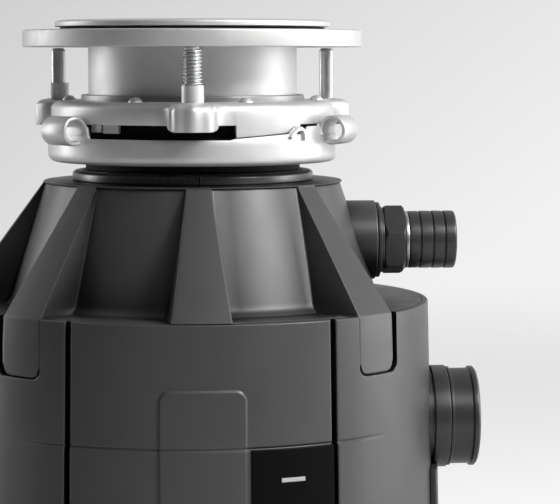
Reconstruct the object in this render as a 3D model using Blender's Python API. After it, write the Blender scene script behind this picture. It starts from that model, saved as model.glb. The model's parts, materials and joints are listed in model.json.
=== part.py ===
"""Kitchen garbage disposal, hung from a sink by a three-screw mount.

Frame: +Z is up along the motor shaft, the origin is on that axis at the base, and both
hose connections point along +X. Azimuths (az) are in degrees about the shaft: 0 faces -Y,
90 faces +X, and they grow anticlockwise seen from above. Every size is in millimetres and
is turned into metres when a mesh is made.
"""
import math

import bmesh
import bpy
from mathutils import Matrix

MM = 0.001
WELD = 2e-6               # metres; points closer than this are one point

# Driving dimensions --------------------------------------------------------------------
SEAT_R = 57.15            # sink flange, 4.5 in across
SEAT_Z = 315.4            # underside of the sink flange
SLEEVE_R = 43.4           # fits a 3.5 in sink hole
SLEEVE_WALL = 1.5
SLEEVE_END_Z = 273.0
BACKUP_R = 70.5
BACKUP_Z = (307.1, 314.1)
SCREW_AZ = (-2.0, 118.0, 238.0)
SCREW_PITCH_R = 66.7      # circle that the mounting screws stand on
SCREW_R = (3.9, 3.05, 3.05)   # 5/16 in thread in front, plain shanks behind
SCREW_Z = (276.0, 306.8)
EAR_R = 10.0
RING_PLATE_Z = (282.0, 285.0)
SKIRT_R = 58.8
SKIRT_Z = 276.0
RAMP_AZ = (15.0, 37.0)
LOWER_R = 60.3
LOWER_Z = (259.9, 270.6)
LUG_AZ = (-55.0, 65.0, 185.0)
LUG_R = 64.4
LUG_Z = 273.5
LUG_TUBE = (4.4, 5.9)     # bore and outside radius
LUG_LENGTH = 16.4
NECK_R = 45.8             # container neck
NECK_TOP = 256.2
SHROUD_TOP = 252.0
SHROUD_TOP_R = 62.4
NECK_SLOPE = 0.335        # growth of the neck cone per unit of drop
RIB_FOOT_R = 98.0
RIB_PITCH = 45.0
RIBS = (0, 1, 3, 4, 5, 6, 7)  # the inlet takes the place of rib 2
TONGUED = (1, 3, 4, 5, 6, 7)
RIB_HALF = (4.9, 6.0)     # half width in degrees at the top and at the floor
FRONT_RIB_HALF = (4.7, 6.8)
FLOOR_Z = 202.5
FLOOR_R = 95.7
SHOULDER_R = 98.4
SHELL_R = 101.0
SHELL_Z = (46.0, 202.2)
SHELL_WALL = 2.4
TONGUE_Z = 179.3
SLOT = 0.25               # clearance beside a tongue, in degrees
WIDE_SLOT = {1: (0.25, 1.9), 7: (1.9, 0.25)}
SEAM_AZ = 31.2
SEAM_HALF = 0.7
LABEL_AZ = (10.6, 30.5)
LABEL_Z = (70.0, 154.2)
APRON_AZ = (76.0, 104.0)
APRON_Z = (62.0, 132.4)
INLET_Z = 226.2
NUT_FLATS = 26.5
NUT_TURN = 15.0           # degrees from a flat facing down
OUTLET_Z = 150.8
OUTLET_R = 20.3
OUTLET_BORE = 17.0
CHAMBER_R = 73.0          # inside of the grind chamber
TABLE_R = 67.9
TABLE_Z = (166.0, 169.0)
IMPELLER_PITCH_R = 44.0
PIN_R = 3.0
SHAFT_R = 6.0
BOLT_PITCH_R = 67.0
BUTTON_AT = (0.0, -58.0)
GLAND_AT = (46.0, 40.0)
COVER_AT = (-20.0, 52.0)
COVER_SIZE = (46.0, 34.0)
GAP = 0.3
OUTER_SIDES = 32
INNER_SIDES = 18
SMALL_SIDES = 12

# Materials: colour, roughness and metallic value ---------------------------------------
FINISHES = {
    "polished": ((0.72, 0.72, 0.72), 0.15, 1.0),
    "cast": ((0.66, 0.66, 0.66), 0.35, 1.0),
    "plated": ((0.55, 0.56, 0.57), 0.3, 1.0),
    "shroud": ((0.12, 0.12, 0.125), 0.45, 0.0),
    "trim": ((0.02, 0.02, 0.022), 0.35, 0.0),
    "rubber": ((0.015, 0.015, 0.015), 0.7, 0.0),
    "steel": ((0.5, 0.5, 0.5), 0.4, 1.0),
    "copper": ((0.55, 0.25, 0.12), 0.35, 1.0),
    "foam": ((0.03, 0.03, 0.03), 0.9, 0.0),
    "button": ((0.55, 0.03, 0.03), 0.4, 0.0),
}


def finish(name):
    """The material of one finish, made on first use."""
    if name in bpy.data.materials:
        return bpy.data.materials[name]
    color, roughness, metallic = FINISHES[name]
    material = bpy.data.materials.new(name)
    material.use_nodes = True
    shader = material.node_tree.nodes["Principled BSDF"]
    shader.inputs["Base Color"].default_value = (*color, 1.0)
    shader.inputs["Roughness"].default_value = roughness
    shader.inputs["Metallic"].default_value = metallic
    return material


def link(name, bm, finish_name):
    """Turn a bmesh into a named object of one finish."""
    bmesh.ops.remove_doubles(bm, verts=bm.verts, dist=WELD)
    bmesh.ops.dissolve_degenerate(bm, edges=bm.edges, dist=WELD / 10)
    bmesh.ops.recalc_face_normals(bm, faces=bm.faces)
    mesh = bpy.data.meshes.new(name)
    bm.to_mesh(mesh)
    bm.free()
    mesh.shade_smooth()
    mesh.set_sharp_from_angle(angle=math.radians(35))
    mesh.materials.append(finish(finish_name))
    obj = bpy.data.objects.new(name, mesh)
    bpy.context.scene.collection.objects.link(obj)
    return obj


def polar(radius, az):
    """Point at a radius and azimuth, in millimetres."""
    turn = math.radians(az)
    return radius * math.sin(turn), -radius * math.cos(turn)


def from_columns(name, columns, finish_name, closed=True):
    """Solid whose section is given as columns of (radius, azimuth, height) points.

    Two columns at one azimuth make a flat wall between them.
    """
    bm = bmesh.new()
    rows = []
    for column in columns:
        row = []
        for radius, az, z in column:
            x, y = polar(radius, az)
            row.append(bm.verts.new((x * MM, y * MM, z * MM)))
        rows.append(row)
    pairs = list(zip(rows, rows[1:]))
    if closed:
        pairs.append((rows[-1], rows[0]))
    for left, right in pairs:
        for k in range(len(left)):
            j = (k + 1) % len(left)
            bm.faces.new((left[k], right[k], right[j], left[j]))
    if not closed:
        bm.faces.new(rows[0])
        bm.faces.new(rows[-1])
    return link(name, bm, finish_name)


def turned(name, profile, finish_name, sides=OUTER_SIDES, az=None):
    """Solid turned about +Z from a closed outline of (radius, height) points."""
    if az is None:
        angles = [360.0 * k / sides for k in range(sides)]
    else:
        steps = max(2, round(sides * (az[1] - az[0]) / 360.0))
        angles = [az[0] + (az[1] - az[0]) * k / steps for k in range(steps + 1)]
    columns = [[(r, a, z) for r, z in profile] for a in angles]
    return from_columns(name, columns, finish_name, closed=az is None)


def tube(name, bore, outside, low, high, finish_name, sides=INNER_SIDES):
    """Plain ring between two radii and two heights."""
    profile = [(bore, low), (outside, low), (outside, high), (bore, high)]
    return turned(name, profile, finish_name, sides)


def rod(name, radius, low, high, finish_name, sides=SMALL_SIDES):
    """Plain cylinder on +Z."""
    return turned(name, [(0, low), (radius, low), (radius, high), (0, high)], finish_name, sides)


def hex_nut(name, bore, flats, low, high, finish_name, turn=0.0):
    """Hexagonal ring with a round bore; turn is the azimuth of one flat's middle."""
    columns = []
    for k in range(24):
        a = 15.0 * k
        off_flat = (a - turn + 30.0) % 60.0 - 30.0
        outside = flats / 2 / math.cos(math.radians(off_flat))
        columns.append([(bore, a, low), (outside, a, low), (outside, a, high), (bore, a, high)])
    return from_columns(name, columns, finish_name)


def block(name, size, low, high, finish_name):
    """Box centred on +Z between two heights."""
    bm = bmesh.new()
    bmesh.ops.create_cube(bm, size=MM)
    middle = (low + high) / 2 * MM
    scale = Matrix.Diagonal((size[0], size[1], high - low, 1.0))
    bmesh.ops.transform(bm, matrix=Matrix.Translation((0, 0, middle)) @ scale, verts=bm.verts)
    return link(name, bm, finish_name)


def place(obj, x=0.0, y=0.0, z=0.0, turn=0.0):
    """Set an object's place in millimetres and its turn about +Z in degrees."""
    obj.location = (x * MM, y * MM, z * MM)
    obj.rotation_euler = (0.0, 0.0, math.radians(turn))
    return obj


def aim_x(obj, z):
    """Lay a piece turned about +Z along +X at one height."""
    obj.location = (0.0, 0.0, z * MM)
    obj.rotation_euler = (0.0, math.radians(90), 0.0)
    return obj


def combine(obj, tool, operation):
    """Join or cut one solid with another, which is used up."""
    bpy.context.view_layer.update()
    step = obj.modifiers.new("combine", "BOOLEAN")
    step.operation = operation
    step.solver = "EXACT"
    step.object = tool
    graph = bpy.context.evaluated_depsgraph_get()
    mesh = bpy.data.meshes.new_from_object(obj.evaluated_get(graph))
    obj.modifiers.clear()
    bpy.data.objects.remove(tool)
    bm = bmesh.new()
    bm.from_mesh(mesh)
    bmesh.ops.remove_doubles(bm, verts=bm.verts, dist=WELD)
    bmesh.ops.dissolve_degenerate(bm, edges=bm.edges, dist=WELD / 10)
    bm.to_mesh(mesh)
    bm.free()
    obj.data = mesh


def shell_radius(z):
    """Outside radius of the drafted body at a height."""
    low = 100.0
    share = min(1.0, (203.0 - z) / (203.0 - low))
    return SHOULDER_R + (SHELL_R - SHOULDER_R) * share


def spread(az0, az1, step):
    """Azimuths from one to another, evenly spaced by about one step."""
    count = max(1, round((az1 - az0) / step))
    return [az0 + (az1 - az0) * k / count for k in range(count + 1)]


# Sink mount ------------------------------------------------------------------------------
def make_sink_flange():
    inside = SLEEVE_R - SLEEVE_WALL
    profile = [
        (SLEEVE_R, SEAT_Z), (SLEEVE_R, 281.5), (SLEEVE_R - 0.8, 281.4), (SLEEVE_R - 0.8, 279.0),
        (SLEEVE_R, 278.9), (SLEEVE_R, SLEEVE_END_Z), (inside, SLEEVE_END_Z), (inside, 296.4),
        (39.5, 296.4), (39.5, 298.0), (inside, 298.0), (inside, 313.5), (43.0, 316.2),
        (45.5, 317.3), (55.5, 318.2), (SEAT_R, 317.2), (SEAT_R, SEAT_Z),
    ]
    turned("sink_flange", profile, "polished")
    tube("sink_gasket", 44.0, 55.0, 314.4, 315.1, "rubber", OUTER_SIDES)


def make_splash_guard():
    """Rubber disc with radial slits, which lifts out of the sleeve."""
    flaps = 6
    slit = 1.6
    solid = [(41.3, 298.3), (41.3, 302.0), (34.0, 302.0), (33.0, 300.5), (8.0, 297.5),
             (8.0, 295.6), (33.0, 298.3)]
    open_ = solid[:4] + [(33.0, 300.5), (33.0, 298.3), (33.0, 298.3)]
    columns = []
    for k in range(flaps):
        start = 360.0 * k / flaps
        for a in (start - slit, start + slit):
            columns.append([(r, a, z) for r, z in open_])
        for a in spread(start + slit, start + 360.0 / flaps - slit, 12):
            columns.append([(r, a, z) for r, z in solid])
    from_columns("splash_guard", columns, "rubber")


def make_backup_flange():
    low, high = BACKUP_Z
    profile = [(44.3, high - 2.5), (61.0, high - 2.5), (61.0, low), (BACKUP_R, low),
               (BACKUP_R, high - 0.6), (BACKUP_R - 0.6, high), (44.3, high)]
    turned("backup_flange", profile, "cast")
    for k, az in enumerate(SCREW_AZ, 1):
        screw = rod(f"mounting_screw_{k}", SCREW_R[k - 1], *SCREW_Z, "plated")
        place(screw, *polar(SCREW_PITCH_R, az))


def make_upper_mounting_ring():
    low, high = RING_PLATE_Z
    profile = [(44.2, low), (56.6, low), (56.9, SKIRT_Z), (SKIRT_R, SKIRT_Z), (SKIRT_R - 0.4, high - 1.5),
               (SKIRT_R - 2.5, high), (46.6, high), (46.5, 287.7), (44.2, 287.7)]
    ring = turned("upper_mounting_ring", profile, "cast")
    for k, az in enumerate(SCREW_AZ):
        x, y = polar(SCREW_PITCH_R, az)
        ear = [(0, 274.4), (EAR_R - 1.5, 274.4), (EAR_R, 276.0), (EAR_R, 282.6), (EAR_R - 1.8, 284.1),
               (4.8, 284.3), (4.8, 287.4), (0, 287.4)]
        combine(ring, place(turned("ear", ear, "cast", SMALL_SIDES), x, y), "UNION")
        hole = rod("hole", SCREW_R[k] + 0.5, 270.0, 290.0, "cast")
        combine(ring, place(hole, x, y), "DIFFERENCE")
        ramp_profile = [(57.0, 271.0), (58.6, 271.0), (58.6, 277.5), (57.0, 277.5)]
        turn = 120.0 * k
        ramp = turned("ramp", ramp_profile, "cast", az=(RAMP_AZ[0] + turn, RAMP_AZ[1] + turn))
        combine(ring, ramp, "UNION")
    tips = [(42.95, 279.3), (46.0, 279.3), (46.0, 281.2), (42.95, 281.2)]
    turned("snap_ring", tips, "plated", sides=36, az=(20.0, 345.0))


def make_lower_mounting_ring():
    low, high = LOWER_Z
    wall = LOWER_R - 1.6
    profile = [(wall, high), (wall, low + 3.6), (56.0, low + 1.6), (45.3, low + 1.6), (45.3, low),
               (56.5, low), (59.3, low + 1.4), (LOWER_R, low + 4.2), (LOWER_R, high)]
    ring = turned("lower_mounting_ring", profile, "cast")
    bore, outside = LUG_TUBE
    for az in LUG_AZ:
        tab = [(wall, 265.0), (LOWER_R + 0.1, 265.0), (LOWER_R + 0.1, 274.8), (wall, 274.8)]
        combine(ring, turned("tab", tab, "cast", az=(az - 9.0, az + 9.0)), "UNION")
        lug = tube("lug", bore, outside, -LUG_LENGTH / 2, LUG_LENGTH / 2, "cast", SMALL_SIDES)
        x, y = polar(LUG_R, az)
        lug.location = (x * MM, y * MM, LUG_Z * MM)
        lug.rotation_euler = (0.0, math.radians(90), math.radians(az))
        combine(ring, lug, "UNION")


def make_mount_cushion():
    profile = [(39.0, 256.5), (44.7, 256.5), (44.7, 261.7), (52.0, 261.8), (52.0, 277.0),
               (43.8, 277.0), (43.8, 272.6), (39.0, 272.6)]
    turned("mount_cushion", profile, "rubber", 36)
    collar = [(NECK_R + 0.5, 252.3), (50.2, 252.3), (50.2, 255.4), (49.4, 256.2), (NECK_R + 0.5, 256.2)]
    turned("clamp_collar", collar, "trim", az=(1.0, 359.4))


# Casing --------------------------------------------------------------------------------
def shroud_column(az, rib, side=0, tongue=False):
    """One section of the shroud, either on a rib or on the neck between two.

    A side of -1 or 1 puts the section on that flank of the rib centred on az.
    """
    def turn(z):
        if not side:
            return az
        half = RIB_HALF if az else FRONT_RIB_HALF
        share = min(1.0, max(0.0, (SHROUD_TOP - z) / (SHROUD_TOP - FLOOR_Z)))
        return az + side * (half[0] + (half[1] - half[0]) * share)

    near_floor = FLOOR_Z + 5.0
    face = SHROUD_TOP_R + 0.1 if rib else SHROUD_TOP_R - 1.0
    slope = (RIB_FOOT_R - face) / (SHROUD_TOP - 1.0 - FLOOR_Z) if rib else NECK_SLOPE
    foot = face + slope * (SHROUD_TOP - 1.0 - near_floor)
    heel = (RIB_FOOT_R, FLOOR_Z) if rib else (foot + 4.5, FLOOR_Z)
    rim = shell_radius(TONGUE_Z)
    if tongue:
        skirt = [(SHOULDER_R, FLOOR_Z - 0.6), (rim, TONGUE_Z), (rim - 2.1, TONGUE_Z), (96.1, 200.0)]
    else:
        skirt = [(FLOOR_R, FLOOR_Z), (FLOOR_R, 200.0), (FLOOR_R, 200.0), (FLOOR_R, 200.0)]
    inner = SHROUD_TOP_R - 3.4
    inner_foot = inner + NECK_SLOPE * (SHROUD_TOP - 2.5 - near_floor)
    section = [(SHROUD_TOP_R, SHROUD_TOP), (face, SHROUD_TOP - 1.0), (foot, near_floor), heel]
    section += skirt
    section += [
        (inner_foot + 2.0, 200.0), (inner_foot, near_floor), (inner, SHROUD_TOP - 2.5),
        (46.6, SHROUD_TOP - 2.5), (46.6, SHROUD_TOP),
    ]
    return [(r, turn(z), z) for r, z in section]


def make_upper_shroud():
    columns = []
    half = RIB_HALF[1]
    for k in range(8):
        middle = RIB_PITCH * k
        if k in RIBS:
            tongue = k in TONGUED
            columns.append(shroud_column(middle, False, side=-1))
            columns.append(shroud_column(middle, True, side=-1, tongue=tongue))
            columns.append(shroud_column(middle, True, tongue=tongue))
            columns.append(shroud_column(middle, True, side=1, tongue=tongue))
            columns.append(shroud_column(middle, False, side=1))
        else:
            columns += [shroud_column(a, False) for a in (middle - half, middle, middle + half)]
        for a in spread(middle + half + 1.0, middle + RIB_PITCH - half - 1.0, 10.0):
            columns.append(shroud_column(a, False))
    shroud = from_columns("upper_shroud", columns, "shroud")
    hole = aim_x(rod("hole", 16.9, 50.0, 90.0, "shroud", 24), INLET_Z)
    combine(shroud, hole, "DIFFERENCE")


def shell_column(az, top):
    wall = SHELL_WALL
    low = SHELL_Z[0]
    return [(shell_radius(z) - inset, az, z) for z, inset in
            ((low, 0.0), (100.0, 0.0), (top - 0.7, 0.0), (top, 0.7), (top, wall), (100.0, wall),
             (low, wall))]


def make_shells():
    """Front panel, and the rear shell whose top edge is notched for the tongues."""
    top = SHELL_Z[1]
    edge = SEAM_AZ - SEAM_HALF
    front = [shell_column(a, top) for a in spread(-edge, edge, 7.5)]
    from_columns("front_panel", front, "shroud", closed=False)
    bottom = TONGUE_Z - 0.4
    columns = []
    start = SEAM_AZ + SEAM_HALF
    for k in TONGUED:
        before, after = WIDE_SLOT.get(k, (SLOT, SLOT))
        left = RIB_PITCH * k - RIB_HALF[1] - before
        right = RIB_PITCH * k + RIB_HALF[1] + after
        columns += [shell_column(a, top) for a in spread(start, left, 8.0)]
        columns += [shell_column(a, bottom) for a in spread(left, right, 8.0)]
        start = right
    columns += [shell_column(a, top) for a in spread(start, 360.0 - SEAM_AZ - SEAM_HALF, 8.0)]
    shell = from_columns("rear_shell", columns, "shroud", closed=False)
    hole = aim_x(rod("hole", 24.0, 80.0, 120.0, "shroud", 24), OUTLET_Z)
    combine(shell, hole, "DIFFERENCE")
    low, high = LABEL_Z
    plate = [[(shell_radius(z) + rise, a, z) for z, rise in
              ((low, GAP), (low, 1.0), (100.0, 1.0), (high, 1.0), (high, GAP), (100.0, GAP))]
             for a in spread(*LABEL_AZ, 5.0)]
    from_columns("label_plate", plate, "trim", closed=False)
    make_apron()
    sleeve = [(90.0, 60.0), (95.0, 60.0), (95.0, 199.5), (90.0, 199.5)]
    turned("sound_sleeve", sleeve, "foam", sides=36, az=(113.0, 427.0))


def make_apron():
    """Raised pad on the casing below the outlet, hollowed round the outlet's collar."""
    low, high = APRON_Z
    columns = []
    for a in spread(*APRON_AZ, 5.0):
        inner = [(shell_radius(z) + GAP, a, z) for z in (high, 100.0, low)]
        outer = [(shell_radius(z) + 2.8, a, z) for z in (low + 1.5, 100.0, high)]
        columns.append(inner + [(shell_radius(low) + 1.5, a, low)] + outer)
    apron = from_columns("outlet_apron", columns, "trim", closed=False)
    combine(apron, aim_x(rod("hole", 22.2, 90.0, 120.0, "trim", 24), OUTLET_Z), "DIFFERENCE")


def make_bottom_cover():
    """Dish with a flat base, and a pocket for the wiring cover."""
    profile = [(10.0, 0.0), (84.0, 0.0), (91.0, 1.5), (96.5, 5.5), (99.8, 12.0), (SHELL_R, 21.0),
               (SHELL_R, 45.7), (98.4, 45.7), (98.4, 21.5), (95.5, 12.0), (90.0, 6.0), (82.0, 4.0),
               (10.0, 4.0)]
    cover = turned("bottom_cover", profile, "trim")
    combine(cover, place(rod("hole", 5.0, -5.0, 9.0, "trim"), *BUTTON_AT), "DIFFERENCE")
    combine(cover, place(rod("hole", 9.4, -5.0, 9.0, "trim"), *GLAND_AT), "DIFFERENCE")
    pocket = (COVER_SIZE[0] + 0.8, COVER_SIZE[1] + 0.8)
    combine(cover, place(block("pocket", pocket, -5.0, 2.9, "trim"), *COVER_AT), "DIFFERENCE")
    combine(cover, place(rod("hole", 2.3, -5.0, 9.0, "trim"), *COVER_AT), "DIFFERENCE")
    plate = place(block("wiring_cover", COVER_SIZE, 1.6, 2.6, "plated"), *COVER_AT)
    combine(plate, place(rod("hole", 2.3, -5.0, 9.0, "trim"), *COVER_AT), "DIFFERENCE")
    screw = [(0, 0.3), (3.6, 0.3), (3.6, 1.3), (1.8, 1.3), (1.8, 10.0), (0, 10.0)]
    place(turned("wiring_cover_screw", screw, "plated", 12), *COVER_AT)
    gland = [(5.0, 0.6), (9.0, 0.6), (9.0, 4.4), (12.0, 4.4), (12.0, 6.4), (9.0, 6.4), (8.0, 12.0),
             (5.0, 12.0)]
    place(turned("cable_gland", gland, "rubber", 20), *GLAND_AT)


# Hose connections along +X --------------------------------------------------------------
def make_inlet():
    boss = [(8.6, 54.0), (16.6, 54.0), (16.6, 75.9), (16.1, 76.4), (8.6, 76.4)]
    boss = aim_x(turned("inlet_boss", boss, "shroud", 24), INLET_Z)
    cone = [(0, 245.0), (50.7, 245.0), (53.0, 240.0), (67.0, 204.0), (67.0, 190.0), (0, 190.0)]
    combine(boss, turned("cone", cone, "shroud"), "DIFFERENCE")
    ring = [(8.6, 76.7), (15.8, 76.7), (15.8, 78.2), (13.9, 78.3), (13.9, 79.5), (8.6, 79.5)]
    aim_x(turned("inlet_ring", ring, "trim", 24), INLET_Z)
    aim_x(hex_nut("inlet_nut", 8.6, NUT_FLATS, 79.8, 88.4, "trim", NUT_TURN), INLET_Z)
    aim_x(tube("clip_ring", 8.6, 12.0, 88.7, 90.2, "plated", 20), INLET_Z)
    nipple = [(6.5, 58.0), (8.2, 58.0), (8.2, 90.5), (12.1, 90.5), (12.1, 109.6), (11.6, 110.1),
              (6.5, 110.1)]
    aim_x(turned("hose_nipple", nipple, "trim", 16), INLET_Z)


def make_outlet():
    profile = [(OUTLET_BORE, 79.4), (23.0, 79.4), (23.0, 82.0), (OUTLET_R, 82.0), (OUTLET_R, 116.6),
               (21.2, 116.9), (21.2, 118.2), (20.3, 119.3), (OUTLET_BORE + 0.6, 119.3),
               (OUTLET_BORE, 118.4)]
    aim_x(turned("outlet_tube", profile, "trim", 28), OUTLET_Z)
    aim_x(tube("outlet_collar", OUTLET_R + GAP, 21.6, 100.2, 106.9, "trim", 28), OUTLET_Z)
    aim_x(tube("outlet_gasket", OUTLET_R + GAP, 21.1, 107.2, 108.4, "rubber", 28), OUTLET_Z)


# Grinding chamber ------------------------------------------------------------------------
def make_container():
    outer = [(NECK_R, NECK_TOP), (NECK_R, 247.0), (52.0, 240.0), (66.0, 204.0),
             (CHAMBER_R + 3.0, 186.0), (CHAMBER_R + 3.0, 180.0),
             (CHAMBER_R + 7.0, 180.0), (CHAMBER_R + 7.0, 176.0)]
    inner = [(CHAMBER_R + 0.5, 176.0), (CHAMBER_R + 0.5, 185.0), (63.4, 203.2),
             (49.4, 239.2), (NECK_R - 2.6, 246.0), (NECK_R - 2.6, NECK_TOP)]
    body = turned("container_body", outer + inner, "steel", 28)
    combine(body, aim_x(rod("hole", 8.7, 40.0, 75.0, "steel"), INLET_Z), "DIFFERENCE")
    columns = []
    teeth = 16
    for k in range(teeth):
        start = 360.0 * k / teeth
        for a, bore in ((0.0, 70.6), (7.0, 70.6), (7.0, 68.6), (15.0, 68.6), (22.5, 68.6)):
            columns.append([(bore, start + a, z) if r else (71.9, start + a, z)
                            for r, z in ((1, 164.5), (0, 164.5), (0, 183.0), (1, 183.0))])
    from_columns("shredder_ring", columns, "plated")


def make_end_bell():
    """Bowl under the turntable, which holds the upper bearing and the outlet port."""
    wall = CHAMBER_R + 3.0
    profile = [(13.4, 118.0), (18.0, 118.0), (18.0, 127.0), (wall, 127.0), (wall, 175.7),
               (CHAMBER_R, 175.7), (CHAMBER_R, 138.0), (69.0, 133.0), (18.5, 133.0), (17.0, 150.0),
               (13.4, 150.0)]
    bell = turned("upper_end_bell", profile, "cast", 28)
    combine(bell, aim_x(rod("port", 22.5, 72.0, 79.0, "cast", 24), OUTLET_Z), "UNION")
    combine(bell, aim_x(rod("bore", OUTLET_BORE, 60.0, 90.0, "cast", 24), OUTLET_Z), "DIFFERENCE")
    tube("upper_bearing", SHAFT_R + 0.25, 13.1, 118.5, 130.0, "plated", 20)
    tube("shaft_seal", SHAFT_R + 0.25, 13.1, 140.0, 149.0, "rubber", 20)


def make_turntable():
    low, high = TABLE_Z
    profile = [(SHAFT_R + 0.2, 156.0), (11.0, 156.0), (11.0, low), (TABLE_R, low), (TABLE_R, high),
               (SHAFT_R + 0.2, high)]
    table = turned("turntable", profile, "plated", 32)
    for k, az in enumerate((90.0, 270.0), 1):
        x, y = polar(IMPELLER_PITCH_R, az)
        hole = place(rod("hole", PIN_R + 0.3, 150.0, 180.0, "plated", 12), x, y)
        combine(table, hole, "DIFFERENCE")
        pin = [(0, low - 1.8), (5.0, low - 1.8), (5.0, low - 0.4), (PIN_R, low - 0.4), (PIN_R, 181.9),
               (5.2, 181.9), (5.2, 183.6), (0, 183.6)]
        place(turned(f"impeller_pin_{k}", pin, "plated", 12), x, y)
        make_impeller(f"impeller_{k}", x, y, az)
    hex_nut("turntable_nut", SHAFT_R + 0.25, 19.0, high + GAP, 175.0, "plated")


def make_impeller(name, x, y, az):
    """Swinging grind lug: an eye round the pin, and a blunt head at the end of a short arm."""
    eye = 7.0
    reach = 19.0
    head = 6.0
    columns = []
    for a in spread(0.0, 345.0, 15.0):
        turn = math.radians(a)
        ahead = math.cos(turn)
        across = abs(math.sin(turn))
        outside = eye
        if ahead > 0.0:
            outside = max(eye, min(reach / max(ahead, 0.2), head / max(across, 0.05)))
            outside = min(outside, math.hypot(reach, head))
        columns.append([(PIN_R + 0.25, a, 169.5), (outside, a, 169.5), (outside, a, 181.5),
                        (PIN_R + 0.25, a, 181.5)])
    place(from_columns(name, columns, "plated"), x, y, turn=az + 90.0)


# Motor -----------------------------------------------------------------------------------
def make_motor():
    shaft = [(0, 16.0), (5.0, 16.0), (5.0, 36.0), (8.0, 38.0), (8.0, 114.0), (SHAFT_R, 116.0),
             (SHAFT_R, 178.0), (5.2, 179.0), (0, 179.0)]
    shaft = turned("rotor_shaft", shaft, "plated", 20)
    socket = rod("socket", 6.35 / math.sqrt(3.0), 10.0, 24.0, "plated", 6)
    combine(shaft, socket, "DIFFERENCE")
    tube("rotor_core", 8.3, 37.6, 54.0, 110.0, "steel")
    tube("stator_core", 38.4, 62.0, 52.0, 112.0, "steel", 24)
    for name, low, high in (("lower_winding", 40.5, 51.6), ("upper_winding", 112.4, 124.0)):
        profile = [(40.5, low), (55.0, low), (58.0, low + 2.5), (58.0, high - 2.5), (55.0, high),
                   (40.5, high)]
        turned(name, profile, "copper", INNER_SIDES)
    columns = []
    blades = 7
    for k in range(blades):
        start = 360.0 * k / blades
        for a, outside in ((0.0, 14.0), (0.0, 34.0), (4.0, 34.0), (4.0, 14.0), (28.0, 14.0)):
            columns.append([(8.4, start + a, 40.5), (outside, start + a, 40.5),
                            (outside, start + a, 51.0), (8.4, start + a, 51.0)])
    from_columns("cooling_fan", columns, "trim")
    frame = [(13.4, 24.0), (19.0, 24.0), (19.0, 29.0), (72.0, 29.0), (72.0, 33.0), (13.4, 33.0)]
    end_frame = turned("lower_end_frame", frame, "cast", INNER_SIDES)
    tube("lower_bearing", 5.3, 13.1, 24.3, 32.7, "plated", 20)
    tube("thrust_washer", 5.3, 9.5, 21.0, 23.6, "plated", 16)
    for k in range(4):
        x, y = polar(BOLT_PITCH_R, 45.0 + 90.0 * k)
        hole = place(rod("hole", 2.9, 20.0, 40.0, "cast", 12), x, y)
        combine(end_frame, hole, "DIFFERENCE")
        bolt = [(0, 24.6), (4.6, 24.6), (4.6, 28.6), (2.5, 28.6), (2.5, 126.6), (0, 126.6)]
        place(turned(f"through_bolt_{k + 1}", bolt, "plated", 10), x, y)


def make_controls():
    """Overload protector with its red reset button, and the start relay."""
    cap = [(0, 0.9), (4.0, 0.9), (4.4, 1.3), (4.4, 4.4), (6.4, 4.4), (6.4, 5.6), (0, 5.6)]
    place(turned("reset_button", cap, "button", 16), *BUTTON_AT)
    place(block("overload_protector", (24.0, 18.0), 14.2, 24.0, "trim"), *BUTTON_AT)
    place(block("start_relay", (26.0, 20.0), 9.0, 27.0, "trim"), -48.0, 8.0)
    turns = 4.0
    steps = 36
    wire = 0.45
    low, high = 6.4, 13.4
    path = []
    for k in range(steps + 1):
        share = k / steps
        turn = 2.0 * math.pi * turns * share
        path.append((4.4 * math.cos(turn), 4.4 * math.sin(turn), low + (high - low) * share))
    coil = bpy.data.curves.new("button_spring", "CURVE")
    coil.dimensions = "3D"
    spline = coil.splines.new("POLY")
    spline.points.add(steps)
    for point, (x, y, z) in zip(spline.points, path):
        point.co = (x * MM, y * MM, z * MM, 1.0)
    coil.bevel_depth = wire * MM
    coil.bevel_resolution = 0
    coil.use_fill_caps = True
    coil.materials.append(finish("plated"))
    spring = bpy.data.objects.new("button_spring", coil)
    bpy.context.scene.collection.objects.link(spring)
    place(spring, *BUTTON_AT)


def main():
    for obj in list(bpy.data.objects):
        bpy.data.objects.remove(obj)
    make_sink_flange()
    make_splash_guard()
    make_backup_flange()
    make_upper_mounting_ring()
    make_lower_mounting_ring()
    make_mount_cushion()
    make_upper_shroud()
    make_shells()
    make_bottom_cover()
    make_inlet()
    make_outlet()
    make_container()
    make_end_bell()
    make_turntable()
    make_motor()
    make_controls()


main()
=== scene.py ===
"""Looks of the kitchen garbage disposal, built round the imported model.

Lengths are in millimetres in the tables and functions below and become metres in the meshes.
Azimuths (az) are in degrees about the shaft: 0 faces -Y, 90 faces +X, anticlockwise from above.
"""
import json
import math

import bmesh
import bpy
from mathutils import Matrix, Vector


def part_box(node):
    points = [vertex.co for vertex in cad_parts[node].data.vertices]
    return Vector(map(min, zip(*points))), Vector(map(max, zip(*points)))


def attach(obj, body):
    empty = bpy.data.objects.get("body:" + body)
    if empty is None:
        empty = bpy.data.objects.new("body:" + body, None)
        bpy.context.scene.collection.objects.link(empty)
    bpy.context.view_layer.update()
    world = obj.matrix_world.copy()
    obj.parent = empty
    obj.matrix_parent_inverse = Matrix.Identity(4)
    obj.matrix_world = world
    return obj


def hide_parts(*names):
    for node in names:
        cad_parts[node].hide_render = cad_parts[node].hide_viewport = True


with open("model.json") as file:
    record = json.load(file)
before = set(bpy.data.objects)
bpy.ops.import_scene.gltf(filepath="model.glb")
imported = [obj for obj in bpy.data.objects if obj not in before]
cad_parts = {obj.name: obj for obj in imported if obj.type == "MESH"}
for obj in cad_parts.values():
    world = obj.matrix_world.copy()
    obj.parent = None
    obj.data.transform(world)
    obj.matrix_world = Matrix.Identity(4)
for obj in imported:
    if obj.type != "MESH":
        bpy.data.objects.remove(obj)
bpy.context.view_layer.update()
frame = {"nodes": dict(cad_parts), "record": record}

MM = 0.001
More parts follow.
